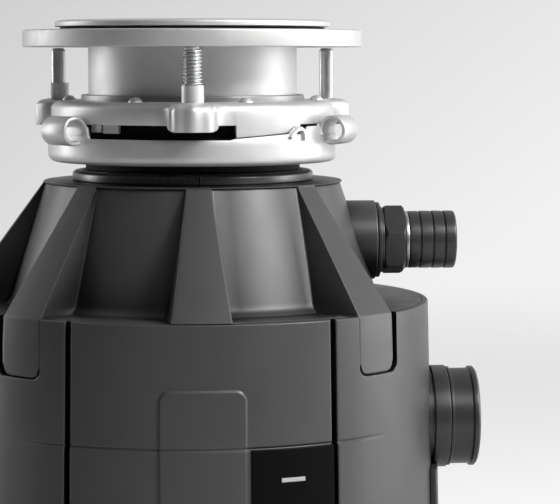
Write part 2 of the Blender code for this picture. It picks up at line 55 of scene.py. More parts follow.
SEGMENTS = 192            # round a large turned piece
SMALL_SEGMENTS = 72       # round a small turned piece
OUTLET_SEGMENTS = 112
CORNER_STEPS = 5

# Casing
SHROUD_TOP = 252.0
SHROUD_TOP_R = 62.4
NECK_SLOPE = 0.335
RIB_FOOT_R = 98.0
RIB_PITCH = 45.0
RIBS = (0, 1, 3, 4, 5, 6, 7)      # the inlet takes the place of rib 2
TONGUED = (1, 3, 4, 5, 6, 7)
RIB_HALF = (4.9, 6.0)
FRONT_RIB_HALF = (4.7, 6.8)
RIB_DRAFT = 3.4           # degrees that a left flank spreads between its face and its root
RIB_BEVEL = 0.55
RIB_ROOT = 0.8
FLOOR_Z = 202.5
FLOOR_R = 95.7
SHOULDER_R = 98.4
SHELL_R = 101.0
SHELL_WALL = 2.4
TONGUE_Z = 179.3
TONGUE_CORNER = 3.6
FLANK = ((1.0, 0.0), (0.45, 0.08), (0.12, 0.22), (0.0, 0.49), (0.0, 0.51), (-0.12, 0.78),
         (-0.45, 0.95), (-1.0, 1.0))           # steps of a rib's flank, for flank_point
ACROSS = (-0.97, -0.9, -0.8, -0.65, -0.35, 0.0, 0.35, 0.65, 0.8, 0.9, 0.97)     # of its face
EDGE_STEPS = (0.04, 0.12, 0.25, 0.42, 0.7)     # degrees in from a shell's upright edge
SLOT = 0.08               # gap beside a tongue in degrees
WIDE_SLOT = {1: (0.08, 1.9), 7: (1.9, 0.08)}
SEAM_AZ = 31.2
SEAM_HALF = 0.7
STEP_Z = 154.5
PAD_HALF = 16.9           # half width of the raised panel
PAD_TOP = 177.0
PAD_LOW = 74.0
PAD_CORNER = 4.5
PAD_RISE = 0.7
INLET_Z = 226.2
OUTLET_Z = 150.8
NUT_FLATS = 26.5

# Sink mount
SCREW_AZ = (-2.0, 118.0, 238.0)
SCREW_PITCH_R = 66.7
THREAD_PITCH = 25.4 / 18.0
THREAD_DEPTH = 0.75
EAR_R = 10.0
SKIRT_R = 58.8
RAMP = (17.0, 39.0, 47.0)  # degrees past a screw: start, end of the climb, end
LUG_AZ = (-55.0, 65.0, 185.0)
LUG_R = 64.4
LUG_Z = 273.5
LUG_TUBE = (4.4, 5.9)
LUG_LENGTH = 16.4

# Camera
CAMERA_DISTANCE = 945.0
CAMERA_HEIGHT = 303.0
CAMERA_AZ = -2.0
CAMERA_DOWN = 4.94
CAMERA_RIGHT = 2.21
LENS = 145.07


# Shapes ------------------------------------------------------
def span(node, axis=2):
    """Lowest and highest coordinate of a CAD node, in millimetres."""
    low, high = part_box(node)
    return low[axis] / MM, high[axis] / MM


def polar(radius, az):
    turn = math.radians(az)
    return radius * math.sin(turn), -radius * math.cos(turn)


def spread(start, end, step):
    """Values from start to end, evenly spaced by about one step."""
    count = max(1, round(abs(end - start) / step))
    return [start + (end - start) * k / count for k in range(count + 1)]


def smooth(edge0, edge1, value):
    """0 before edge0, 1 after edge1, with a smooth rise between them."""
    share = min(1.0, max(0.0, (value - edge0) / (edge1 - edge0)))
    return share * share * (3.0 - 2.0 * share)


def curve(start, corner, end, steps):
    """Points along a quadratic curve that is drawn towards a corner."""
    return [tuple(start[i] * (1 - t) ** 2 + corner[i] * 2 * t * (1 - t) + end[i] * t * t for i in (0, 1))
            for t in spread(0.0, 1.0, 1.0 / steps)]


def rounded(points, steps=CORNER_STEPS):
    """Closed outline whose corners are rounded where a third number gives a radius."""
    outline = []
    count = len(points)
    for k, point in enumerate(points):
        corner = Vector(point[:2])
        if len(point) < 3:
            outline.append(tuple(corner))
            continue
        back = Vector(points[k - 1][:2]) - corner
        ahead = Vector(points[(k + 1) % count][:2]) - corner
        half = back.angle(ahead) / 2
        cut = min(point[2] / math.tan(half), back.length * 0.49, ahead.length * 0.49)
        start = corner + back.normalized() * cut
        end = corner + ahead.normalized() * cut
        outline += curve(start, corner, end, steps)
    return outline


def finish_mesh(name, bm, material, angle=32.0):
    """Close up a bmesh and turn it into an object."""
    bmesh.ops.remove_doubles(bm, verts=bm.verts, dist=1e-6)
    bmesh.ops.dissolve_degenerate(bm, edges=bm.edges, dist=1e-7)
    bmesh.ops.recalc_face_normals(bm, faces=bm.faces)
    mesh = bpy.data.meshes.new(name)
    bm.to_mesh(mesh)
    bm.free()
    mesh.shade_smooth()
    mesh.set_sharp_from_angle(angle=math.radians(angle))
    mesh.materials.append(material)
    obj = bpy.data.objects.new(name, mesh)
    bpy.context.scene.collection.objects.link(obj)
    return obj


def skin(name, columns, material, closed=True, angle=32.0):
    """Closed solid through columns that are loops of the same number of (x, y, z) points."""
    bm = bmesh.new()
    rows = [[bm.verts.new((x * MM, y * MM, z * MM)) for x, y, z in column] for column in columns]
    pairs = list(zip(rows, rows[1:]))
    if closed:
        pairs.append((rows[-1], rows[0]))
    for left, right in pairs:
        for k in range(len(left)):
            j = (k + 1) % len(left)
            bm.faces.new((left[k], right[k], right[j], left[j]))
    if not closed:
        bm.faces.new(rows[0])
        bm.faces.new(rows[-1])
    return finish_mesh(name, bm, material, angle)


def polar_skin(name, columns, material, closed=True, angle=32.0):
    """The same, from columns of (radius, azimuth, height) points."""
    spatial = [[(*polar(r, az), z) for r, az, z in column] for column in columns]
    return skin(name, spatial, material, closed, angle)


def turned(name, outline, material, segments=SEGMENTS, az=None, angle=32.0):
    """Turned solid from a closed outline of (radius, height) points, rounded where it says."""
    points = rounded(outline)
    if az is None:
        angles = [360.0 * k / segments for k in range(segments)]
    else:
        angles = spread(az[0], az[1], 360.0 / segments)
    columns = [[(r, a, z) for r, z in points] for a in angles]
    return polar_skin(name, columns, material, az is None, angle)


def rod(radius, low, high, material, segments):
    """Plain upright rod that cuts a hole."""
    return turned("hole", [(0, low), (radius, low), (radius, high), (0, high)], material, segments)


def along_x(obj, z):
    """Lay a piece that was turned about +Z along +X at one height."""
    turn = Matrix.Translation((0, 0, z * MM)) @ Matrix.Rotation(math.radians(90), 4, "Y")
    obj.data.transform(turn)
    return obj


def move(obj, x=0.0, y=0.0, z=0.0, turn=0.0):
    """Shift a piece's mesh, after a turn about +Z in degrees."""
    place = Matrix.Translation((x * MM, y * MM, z * MM)) @ Matrix.Rotation(math.radians(turn), 4, "Z")
    obj.data.transform(place)
    return obj


def join(name, objects):
    """One object from several, under one name."""
    bm = bmesh.new()
    for obj in objects:
        bm.from_mesh(obj.data)
    mesh = bpy.data.meshes.new(name)
    bm.to_mesh(mesh)
    bm.free()
    mesh.materials.append(objects[0].data.materials[0])
    for obj in objects:
        bpy.data.objects.remove(obj)
    joined = bpy.data.objects.new(name, mesh)
    bpy.context.scene.collection.objects.link(joined)
    return joined


def cut(obj, tool):
    """Cut one solid with another, which is used up."""
    bpy.context.view_layer.update()
    step = obj.modifiers.new("cut", "BOOLEAN")
    step.operation = "DIFFERENCE"
    step.solver = "EXACT"
    step.object = tool
    graph = bpy.context.evaluated_depsgraph_get()
    mesh = bpy.data.meshes.new_from_object(obj.evaluated_get(graph))
    obj.modifiers.clear()
    bpy.data.objects.remove(tool)
    mesh.shade_smooth()
    mesh.set_sharp_from_angle(angle=math.radians(32))
    obj.data = mesh


def use(obj, body, slot, *nodes):
    """Say what a finished piece rides on and stands for; its slot is not used."""
    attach(obj, body)
    if nodes:
        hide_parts(*nodes)
    return obj


def turned_piece(name, outline, slot, node, body="root", height=None, segments=SEGMENTS, az=None):
    """Turned piece that stands for a CAD node, laid along +X if it has a height."""
    piece = turned(name, outline, MATERIALS[slot], segments, az)
    if height is not None:
        along_x(piece, height)
    return use(piece, body, slot, node)


def shell_radius(z):
    share = min(1.0, (203.0 - z) / 103.0)
    return SHOULDER_R + (SHELL_R - SHOULDER_R) * share


# Materials ---------------------------------------------------
EVEN = (1.0, 1.0, 1.0)


def set_inputs(tree, node, inputs):
    """Set a node's inputs from a table, or link them where it holds a socket."""
    for name, value in inputs.items():
        if isinstance(value, bpy.types.NodeSocket):
            tree.links.new(value, node.inputs[name])
        else:
            node.inputs[name].default_value = value


def add_node(tree, kind, inputs, **settings):
    """New shader node with its settings and inputs."""
    node = tree.nodes.new("ShaderNode" + kind)
    for name, value in settings.items():
        setattr(node, name, value)
    set_inputs(tree, node, inputs)
    return node


def math_node(tree, operation, first, second):
    return add_node(tree, "Math", {0: first, 1: second}, operation=operation).outputs[0]


def ranged(tree, value, low, high, start, end, **settings):
    """Map a value in start..end to low..high."""
    inputs = {"Value": value, "From Min": start, "From Max": end, "To Min": low, "To Max": high}
    return add_node(tree, "MapRange", inputs, **settings).outputs["Result"]


class Surface:
    """A Principled material with noise for its colour, its roughness and its relief, and with painted
    shade where asked.
    """

    def __init__(self, name, color, roughness, metallic=0.0, **sockets):
        self.name = name
        self.material = bpy.data.materials.new(name)
        self.material.use_nodes = True
        self.tree = self.material.node_tree
        self.shader = self.tree.nodes["Principled BSDF"]
        self.color = color
        self.roughness = roughness
        set_inputs(self.tree, self.shader, {"Metallic": metallic})
        set_inputs(self.tree, self.shader, {k.replace("_", " "): v for k, v in sockets.items()})
        self.place = add_node(self.tree, "TexCoord", {}).outputs["Object"]

    def noise(self, scale, stretch):
        """Noise of so many grains per metre."""
        mapped = add_node(self.tree, "Mapping", {"Scale": stretch, "Vector": self.place}).outputs[0]
        inputs = {"Scale": scale, "Detail": 4.0, "Vector": mapped}
        return add_node(self.tree, "TexNoise", inputs).outputs["Fac"]

    def varied(self, scale, stretch, low, high):
        """The same noise, mapped to low..high."""
        return ranged(self.tree, self.noise(scale, stretch), low, high, 0.3, 0.7)

    def tint(self, factor, first, second):
        """Mix two colours into the base colour."""
        mix = add_node(self.tree, "Mix", {0: factor, 6: first, 7: second}, data_type="RGBA")
        set_inputs(self.tree, self.shader, {"Base Color": mix.outputs[2]})
        return self

    def mottle(self, scale, amount, stretch=EVEN):
        """Vary the base colour by a share of itself."""
        first, second = [(*[c * share for c in self.color], 1.0) for share in (1 - amount, 1 + amount)]
        return self.tint(self.varied(scale, stretch, 0.0, 1.0), first, second)

    def painted_crease_shade(self, reach, low, start, end):
        """Paint shade into the base colour: darken it where other surfaces stand within a reach in
        millimetres.
        """
        # Painted shade: ambient occlusion fades the base colour towards black in creases.
        occlusion = add_node(self.tree, "AmbientOcclusion", {"Distance": reach * MM}, samples=8)
        factor = ranged(self.tree, occlusion.outputs["AO"], low, 1.0, start, end)
        plain = self.shader.inputs["Base Color"].links[0].from_socket
        return self.tint(factor, (0.0, 0.0, 0.0, 1.0), plain)

    def gloss(self, scale, amount, stretch=EVEN):
        """Vary the roughness."""
        rough = self.varied(scale, stretch, self.roughness - amount, self.roughness + amount)
        set_inputs(self.tree, self.shader, {"Roughness": rough})
        return self

    def relief(self, *layers):
        """Bump from layers of (scale, depth in millimetres, stretch)."""
        normal = {}
        for scale, depth, stretch in layers:
            height = self.noise(scale, stretch)
            inputs = {"Strength": 1.0, "Distance": depth * MM, "Height": height, **normal}
            normal = {"Normal": add_node(self.tree, "Bump", inputs).outputs["Normal"]}
        set_inputs(self.tree, self.shader, normal)
        return self


def make_materials():
    """Every finish by its name, which is its slot in the record if it has one there."""
    surfaces = (
        Surface("polished_steel", (0.64, 0.64, 0.64), 0.48, 0.6)
        .mottle(60.0, 0.04).gloss(90.0, 0.04).relief((1800.0, 0.004, (1, 1, 0.1))),
        Surface("satin_metal", (0.58, 0.58, 0.575), 0.52, 0.7)
        .mottle(70.0, 0.04).gloss(220.0, 0.05).relief((1500.0, 0.008, (1, 1, 6.0))),
        Surface("bright_cast", (0.62, 0.62, 0.62), 0.46, 0.6)
        .mottle(80.0, 0.05).gloss(120.0, 0.05).relief((60.0, 0.06, EVEN), (900.0, 0.006, EVEN)),
        Surface("plated_steel", (0.52, 0.525, 0.53), 0.36, 1.0)
        .mottle(300.0, 0.06).gloss(500.0, 0.06).relief((1500.0, 0.003, EVEN)),
        # Shroud plastic, its base colour carrying painted shade that goes near black at the rib roots and
        # flanks.
        Surface("shroud_plastic", (0.049, 0.049, 0.05), 0.4)
        .mottle(35.0, 0.06).painted_crease_shade(32.0, 0.02, 0.6, 0.88).gloss(60.0, 0.03)
        .relief((2600.0, 0.012, EVEN), (25.0, 0.04, EVEN)),
        Surface("trim_plastic", (0.028, 0.028, 0.029), 0.36)
        .mottle(90.0, 0.08).gloss(120.0, 0.05).relief((1800.0, 0.008, EVEN)),
        Surface("label_black", (0.003, 0.003, 0.003), 0.4, Specular_IOR_Level=0.06)
        .mottle(120.0, 0.1).gloss(90.0, 0.04).relief((60.0, 0.02, EVEN)),
        # Black rubber, its colour set darker still as painted shade for the gap under the lower ring.
        Surface("rubber", (0.006, 0.006, 0.006), 0.7, Specular_IOR_Level=0.25)
        .mottle(120.0, 0.15).gloss(400.0, 0.08).relief((1200.0, 0.02, EVEN)),
        Surface("motor_steel", (0.3, 0.3, 0.305), 0.42, 1.0)
        .mottle(100.0, 0.08).gloss(160.0, 0.07).relief((1200.0, 0.01, (1, 1, 8.0))),
        Surface("copper", (0.55, 0.25, 0.12), 0.35, 0.9)
        .mottle(500.0, 0.2, (1, 1, 3.0)).gloss(300.0, 0.08).relief((700.0, 0.3, (1, 1, 3.0))),
        Surface("foam", (0.008, 0.008, 0.008), 0.9)
        .mottle(500.0, 0.3).gloss(500.0, 0.05).relief((900.0, 0.4, EVEN)),
        Surface("button_red", (0.55, 0.03, 0.03), 0.35)
        .mottle(200.0, 0.08).gloss(300.0, 0.05).relief((1500.0, 0.01, EVEN)),
        Surface("collar", (0.1, 0.1, 0.1), 0.3, 0.7)
        .mottle(90.0, 0.05).gloss(120.0, 0.04).relief((1200.0, 0.006, (1, 1, 8.0))),
        Surface("print", (0.42, 0.42, 0.42), 0.5)
        .mottle(400.0, 0.08).gloss(400.0, 0.05).relief((1500.0, 0.004, EVEN)),
    )
    return {surface.name: surface.material for surface in surfaces}


# Sink mount --------------------------------------------------
def make_sink_flange():
    low, top = span("sink_flange")
    rim = span("sink_flange", 0)[1]
    seat = top - 2.8
    out, inside = 43.4, 41.9
    outline = [
        (out, seat), (out, 281.5), (out - 0.8, 281.4), (out - 0.8, 279.0), (out, 278.9),
        (out, low, 0.4), (inside, low, 0.4), (inside, 296.4, 0.5), (39.5, 296.4, 0.5),
        (39.5, 298.0, 0.5), (inside, 298.0, 0.5), (inside, 313.5, 2.0), (43.0, 316.2, 2.0),
        (45.5, 317.3, 2.5), (54.8, top, 2.0), (rim, top - 0.7, 0.9), (rim, seat, 0.4),
    ]
    turned_piece("sink_flange_polished", outline, "polished_steel", "sink_flange")
    low, high = span("sink_gasket")
    ring = [(44.0, low, 0.2), (55.0, low, 0.2), (55.0, high, 0.2), (44.0, high, 0.2)]
    turned_piece("sink_gasket_fibre", ring, "rubber", "sink_gasket")


def make_backup_flange():
    low, high = span("backup_flange")
    rim = span("backup_flange", 0)[1]
    outline = [(44.3, high - 2.5, 0.4), (61.0, high - 2.5, 1.0), (61.0, low, 0.6), (rim, low, 0.5),
               (rim, high, 0.9), (44.3, high, 0.4)]
    turned_piece("backup_flange_satin", outline, "satin_metal", "backup_flange", "backup")


def make_screws():
    """The front screw shows its thread; the two behind have plain shanks."""
    for k, az in enumerate(SCREW_AZ, 1):
        node = f"mounting_screw_{k}"
        low, high = span(node)
        radius = (span(node, 0)[1] - span(node, 0)[0]) / 2
        columns = []
        sides = 40
        per_turn = 10
        threaded = k == 1
        for s in range(sides):
            turn = s / sides
            column = [(0.0, 0.0, low)]
            for z in spread(low, high, THREAD_PITCH / per_turn):
                phase = ((z - low) / THREAD_PITCH - turn) % 1.0
                crest = min(1.0, abs(phase - 0.5) * 2.6)
                end = smooth(0.0, 1.2, min(z - low, high - z))
                depth = THREAD_DEPTH * (1.0 - crest) if threaded else 0.0
                r = radius - depth - (1 - end) * 0.8
                column.append((r * math.cos(2 * math.pi * turn), r * math.sin(2 * math.pi * turn), z))
            column.append((0.0, 0.0, high))
            columns.append(column)
        screw = skin(f"screw_{k}_shank", columns, MATERIALS["plated_steel"], angle=60.0)
        use(move(screw, *polar(SCREW_PITCH_R, az)), f"screw_{k}", "plated_steel", node)


def ring_plan():
    """Outline of the upper ring seen from above, with an ear round each screw."""
    points = []
    flank = math.degrees(math.asin(EAR_R / SCREW_PITCH_R))
    for az in SCREW_AZ:
        cx, cy = polar(SCREW_PITCH_R, az)
        root = flank + 6.2
        ear = []
        for t in spread(-112.0, 112.0, 4.0):
            turn = math.radians(az + t)
            flute = 0.35 * (1.0 - math.cos(math.radians(8.0 * t))) if abs(t) < 68.0 else 0.0
            ear.append((cx + (EAR_R - flute) * math.sin(turn), cy - (EAR_R - flute) * math.cos(turn)))
        start = polar(SKIRT_R, az - root)
        end = polar(SKIRT_R, az + root)
        before = polar(SKIRT_R + 0.5, az - flank - 0.6)
        after = polar(SKIRT_R + 0.5, az + flank + 0.6)
        points += curve(start, before, ear[0], 9)[:-1] + ear + curve(ear[-1], after, end, 9)[1:]
        around = spread(az + root, az + 120.0 - root, 1.0)[1:-1]
        around += [az + edge + d for edge in (RAMP[0], RAMP[2]) for d in (-0.06, 0.06)]
        points += [polar(SKIRT_R, a) for a in sorted(around)]
    return points


def skirt_bottom(az):
    """Height of the upper ring's lower edge."""
    near = (az - SCREW_AZ[0] + 60.0) % 120.0 - 60.0
    if RAMP[0] < near < RAMP[2]:
        return 271.1 + 1.5 * min(1.0, (near - RAMP[0]) / (RAMP[1] - RAMP[0]))
    return 276.0 - 2.1 * (1.0 - smooth(6.1, 10.4, abs(near)))


def make_upper_mounting_ring():
    plan = ring_plan()
    count = len(plan)
    columns = []
    for k, (x, y) in enumerate(plan):
        ahead = Vector(plan[(k + 1) % count])
        behind = Vector(plan[k - 1])
        tangent = (ahead - behind).normalized()
        normal = Vector((tangent.y, -tangent.x))
        az = math.degrees(math.atan2(x, -y))
        bottom = skirt_bottom(az)
        edge = [(2.0, bottom + 0.2), (1.7, bottom), (0.5, bottom), (0.15, bottom + 0.15),
                (0.0, bottom + 0.5), (0.0, 281.6), (0.15, 282.5), (0.6, 283.4), (1.4, 284.2),
                (2.6, 284.8), (4.0, 285.0)]
        column = []
        for inset, z in edge:
            column.append((x - normal.x * inset, y - normal.y * inset, z))
        for r, z in ((49.0, 285.1), (46.0, 285.1), (44.4, 285.1), (44.2, 284.9), (44.2, 282.0),
                     (55.5, 282.0)):
            column.append((*polar(r, az), z))
        column.append((x - normal.x * 2.0, y - normal.y * 2.0, 281.0))
        columns.append(column)
    metal = MATERIALS["bright_cast"]
    ring = skin("upper_ring_body", columns, metal, angle=50.0)
    extras = []
    for az in SCREW_AZ:
        x, y = polar(SCREW_PITCH_R, az)
        cut(ring, move(rod(4.4, 268.0, 292.0, metal, 32), x, y))
        collar = [(4.35, 283.0), (6.6, 284.2, 0.5), (5.4, 285.0, 0.5), (4.35, 285.3)]
        extras.append(move(turned("collar", collar, metal, 48), x, y))
        for side in (-26.0, 24.0):
            px, py = polar(52.0, az + side)
            pip = [(0, 284.4), (3.0, 284.4), (2.7, 285.6, 0.6), (1.6, 286.8, 0.8), (0, 287.1)]
            extras.append(move(turned("pip", pip, metal, 32), px, py))
        for start, end, low in ((-45.0, -39.5, 273.0), (-38.5, -31.0, 272.6)):
            clip = [(55.4, low, 0.4), (57.2, low, 0.4), (57.2, 277.0), (55.4, 277.0)]
            extras.append(turned("clip", clip, metal, az=(az + start, az + end)))
    ring = join("upper_mounting_ring_cast", [ring] + extras)
    use(ring, "root", "bright_cast", "upper_mounting_ring")
    # Collar on top of the upper ring, drawn in a darker steel than the ring's casting.
    outline = [(44.2, 285.1), (46.4, 285.1), (46.4, 287.5, 0.6), (44.2, 287.5, 0.4)]
    use(turned("upper_ring_collar", outline, MATERIALS["motor_steel"]), "root", "motor_steel")


def band_top(az):
    """Height of the lower ring's upper edge, which climbs towards each lug."""
    near = (az - LUG_AZ[1] + 60.0) % 120.0 - 60.0
    climb = 0.45 * smooth(-53.0, -51.0, near) + 1.5 * min(1.0, max(0.0, (near + 51.0) / 22.0))
    climb += 2.95 * smooth(-19.0, -16.5, near)
    return 270.4 + climb - 4.9 * smooth(8.2, 9.4, near)


def make_lower_mounting_ring():
    low = span("lower_mounting_ring")[0]
    metal = MATERIALS["bright_cast"]
    base = rounded([(59.0, 268.0), (59.0, low + 1.6, 2.6), (45.3, low + 1.6, 0.5), (45.3, low, 0.5),
                    (60.3, low, 4.2), (60.3, 268.0)], 8)
    azimuths = spread(0.0, 360.0, 1.0)[:-1]
    for lug in LUG_AZ:
        for edge in (-53.0, -51.0, -19.0, -16.5, 8.2, 9.4):
            azimuths += [(lug + edge + d) % 360.0 for d in (-0.5, 0.3, 0.7)]
    columns = []
    for az in sorted(set(azimuths)):
        top = band_top(az)
        rim = [(60.3, top - 0.5), (60.15, top - 0.15), (59.8, top), (59.4, top), (59.1, top - 0.15),
               (59.0, top - 0.5)]
        columns.append([(r, az, z) for r, z in base + rim])
    parts = [polar_skin("band", columns, metal, angle=50.0)]
    for az in LUG_AZ:
        parts.append(make_lug(az, metal))
        parts.append(make_hook(az - 22.5, metal))
    use(join("lower_mounting_ring_rolled", parts), "lower_mount", "bright_cast",
        "lower_mounting_ring")


def make_lug(az, metal):
    """Strip rolled outwards into a tube, which doesn't quite close."""
    bore, outside = LUG_TUBE
    turns = spread(205.0, -112.0, 8.0)
    outer = [(outside * math.cos(math.radians(t)), outside * math.sin(math.radians(t))) for t in turns]
    inner = [(bore * math.cos(math.radians(t)), bore * math.sin(math.radians(t))) for t in reversed(turns)]
    section = outer + inner
    columns = []
    cx, cy = polar(LUG_R, az)
    out = Vector(polar(1.0, az))
    along = Vector((-out.y, out.x))
    half = LUG_LENGTH / 2
    middle = (bore + outside) / 2
    for s, shrink in ((-half, 0.3), (-half + 0.12, 0.12), (-half + 0.35, 0.0), (half - 0.35, 0.0),
                      (half - 0.12, 0.12), (half, 0.3)):
        column = []
        for u, v in section:
            size = math.hypot(u, v)
            scale = (size + math.copysign(shrink, middle - size)) / size
            r = u * scale
            column.append((cx + out.x * r + along.x * s, cy + out.y * r + along.y * s, LUG_Z + v * scale))
        columns.append(column)
    return skin("lug", columns, metal, closed=False, angle=40.0)


def make_hook(az, metal):
    """Bent catch on the band, beside a lug."""
    path = [(-5.0, 270.9), (-3.6, 272.6), (-1.6, 274.0), (0.6, 274.5), (2.2, 273.6), (2.9, 271.6),
            (3.0, 269.6)]
    width = 0.85
    columns = []
    for k, (s, z) in enumerate(path):
        before = Vector(path[max(0, k - 1)])
        after = Vector(path[min(len(path) - 1, k + 1)])
        tangent = (after - before).normalized()
        across = Vector((-tangent.y, tangent.x)) * width
        column = []
        for side, r in ((-1, 59.4), (-1, 61.3), (-0.7, 61.7), (0.7, 61.7), (1, 61.3), (1, 59.4)):
            turn = az + math.degrees((s + across.x * side) / 60.3)
            column.append((*polar(r, turn), z + across.y * side))
        columns.append(column)
    return skin("hook", columns, metal, closed=False, angle=50.0)


def make_mount_seals():
    low, high = span("mount_cushion")
    outline = [(39.0, low, 0.6), (44.7, low, 0.6), (44.7, low + 5.2, 0.5), (52.0, low + 5.3, 1.2),
               (52.0, high, 1.5), (43.8, high, 0.8), (43.8, high - 4.4), (39.0, high - 4.4, 0.6)]
    turned_piece("mount_cushion_rubber", outline, "rubber", "mount_cushion")
    low, high = span("clamp_collar")
    outline = [(46.3, low, 0.3), (50.2, low, 0.4), (50.2, high - 0.9, 1.2), (49.0, high, 0.8),
               (46.3, high, 0.3)]
    band = turned("clamp_collar_band", outline, MATERIALS["collar"], az=(1.1, 360.6))
    use(band, "root", "trim_plastic", "clamp_collar")
    low, high = span("snap_ring")
    outline = [(42.95, low, 0.4), (46.0, low, 0.4), (46.0, high, 0.4), (42.95, high, 0.4)]
    turned_piece("snap_ring_wire", outline, "plated_steel", "snap_ring", az=(20.0, 345.0))


def make_splash_guard():
    """Six rubber flaps round a hole, within an unbroken rim."""
    flaps = 6
    slit = 0.55
    closed = [(41.3, 298.4), (41.3, 301.2), (40.6, 301.9), (38.0, 302.0), (35.0, 301.6), (33.2, 300.6),
              (26.0, 299.7), (16.0, 298.4), (9.0, 297.4), (8.1, 297.0), (8.1, 296.0), (9.0, 295.7),
              (16.0, 296.6), (26.0, 297.7), (33.0, 298.3)]
    parted = closed[:6] + [(33.2, 300.6)] * 4 + [(33.0, 298.3)] * 5
    sections = [(0.0, -1, parted), (0.0, 1, parted), (0.0, 1, closed)]
    sections += [(a, 0, closed) for a in spread(2.0, 58.0, 2.0)]
    sections.append((60.0, -1, closed))
    columns = []
    for k in range(flaps):
        start = 360.0 * k / flaps
        for a, side, outline in sections:
            columns.append([(r, start + a + math.degrees(side * slit / r), z) for r, z in outline])
    guard = polar_skin("splash_guard_rubber", columns, MATERIALS["rubber"])
    use(guard, "guard", "rubber", "splash_guard")


# Casing ------------------------------------------------------
def shroud_heights():
    """Heights of the rows down the neck, from under its rim to the floor."""
    return spread(249.0, 207.0, 4.2) + [205.6, 204.4, 203.5, 202.9, FLOOR_Z]


def neck_outline():
    """Outer section on the bare neck, from its rim to the edge of the floor."""
    points = [(SHROUD_TOP_R - 1.2, SHROUD_TOP), (SHROUD_TOP_R - 0.4, SHROUD_TOP - 0.1),
              (SHROUD_TOP_R, SHROUD_TOP - 0.5), (SHROUD_TOP_R - 0.9, SHROUD_TOP - 1.2)]
    for z in shroud_heights():
        cone = SHROUD_TOP_R - 0.9 + NECK_SLOPE * (SHROUD_TOP - 1.2 - z)
        points.append((cone + 1.6 * smooth(205.0, 202.0, z), z))
    points += [(84.0, FLOOR_Z), (90.0, FLOOR_Z), (FLOOR_R - 0.3, FLOOR_Z), (FLOOR_R, FLOOR_Z - 0.3)]
    return points + [(FLOOR_R, 200.0)] * 3


def rib_outline(tongue, end):
    """Outer section on a rib, from the rim to the shoulder or to a tongue's end."""
    top = (SHROUD_TOP_R, SHROUD_TOP - 0.9)
    slope = (RIB_FOOT_R - top[0]) / (top[1] - FLOOR_Z)
    points = [(SHROUD_TOP_R - 1.2, SHROUD_TOP), (SHROUD_TOP_R - 0.4, SHROUD_TOP - 0.1),
              (SHROUD_TOP_R, SHROUD_TOP - 0.5), top]
    points += [(top[0] + slope * (top[1] - z), z) for z in shroud_heights()]
    if not tongue:
        low = FLOOR_Z - 0.15
        return points + [(97.9, low), (97.3, low), (96.6, low), (FLOOR_R, low)] + [(FLOOR_R, 200.0)] * 3
    rim = shell_radius(end)
    return points + [(RIB_FOOT_R + 0.2, FLOOR_Z - 0.35), (SHOULDER_R, FLOOR_Z - 0.9),
                     (shell_radius(190.0), max(190.0, end + 0.6)), (rim, end + 0.5),
                     (rim - 0.35, end), (rim - 1.9, end), (96.1, 200.0)]


def inner_outline():
    near = FLOOR_Z + 5.0
    inner = SHROUD_TOP_R - 3.4
    foot = inner + NECK_SLOPE * (SHROUD_TOP - 2.5 - near)
    return [(foot + 2.0, 200.0), (foot, near), (inner, SHROUD_TOP - 2.5),
            (46.6, SHROUD_TOP - 2.5), (46.6, SHROUD_TOP - 0.3), (46.9, SHROUD_TOP)]


def tongue_end(offset):
    """Lower edge of a tongue at a distance from its middle line, with round corners."""
    half = math.radians(RIB_HALF[1]) * 98.9
    beyond = max(0.0, abs(offset) - (half - TONGUE_CORNER))
    beyond = min(beyond, TONGUE_CORNER)
    return TONGUE_Z + TONGUE_CORNER - math.sqrt(TONGUE_CORNER ** 2 - beyond ** 2)


def rib_half(middle, z):
    half = RIB_HALF if middle else FRONT_RIB_HALF
    share = min(1.0, max(0.0, (SHROUD_TOP - z) / (SHROUD_TOP - FLOOR_Z)))
    return half[0] + (half[1] - half[0]) * share


def flank_point(middle, neck, face, step, draft=0.0):
    """Point of one column on a rib's flank, as (radius, degrees from the middle, height).

    Step is (inset, height): how far it lies inside the flank's plane, in fillet or bevel
    widths, and its place between the neck (0), the flank and the face (1).
    """
    inset, place = step
    gap = math.hypot(face[0] - neck[0], face[1] - neck[1])
    size = min(1.0, gap / (RIB_BEVEL + RIB_ROOT))
    if place < 0.5:
        share = place * 2 * RIB_ROOT * size / gap if gap > 1e-6 else 0.0
        width = RIB_ROOT
    else:
        share = 1.0 - (1.0 - place) * 2 * RIB_BEVEL * size / gap if gap > 1e-6 else 1.0
        width = RIB_BEVEL
    r = neck[0] + (face[0] - neck[0]) * share
    z = neck[1] + (face[1] - neck[1]) * share
    draft *= (1.0 - share) * min(1.0, (SHROUD_TOP - z) / (SHROUD_TOP - FLOOR_Z))
    return r, rib_half(middle, z) + draft + math.degrees(inset * width * size / r), z


def shroud_columns(middle, tongue):
    """Columns over one rib, from its left root to its right root."""
    columns = []
    neck = neck_outline()
    half_mm = math.radians(RIB_HALF[1]) * 98.9
    for side, steps in ((-1, FLANK), (0, ACROSS), (1, tuple(reversed(FLANK)))):
        for step in steps:
            share = step if side == 0 else 1.0
            face = rib_outline(tongue, tongue_end(half_mm * share))
            column = []
            for low, high in zip(neck, face):
                if side == 0:
                    edge = flank_point(middle, low, high, FLANK[-1])
                    column.append((edge[0], middle + edge[1] * share, edge[2]))
                else:
                    r, turn, z = flank_point(middle, low, high, step, RIB_DRAFT if side < 0 else 0.0)
                    column.append((r, middle + side * turn, z))
            column += [(r, middle + (side or share) * rib_half(middle, z), z) for r, z in inner_outline()]
            columns.append(column)
    return columns


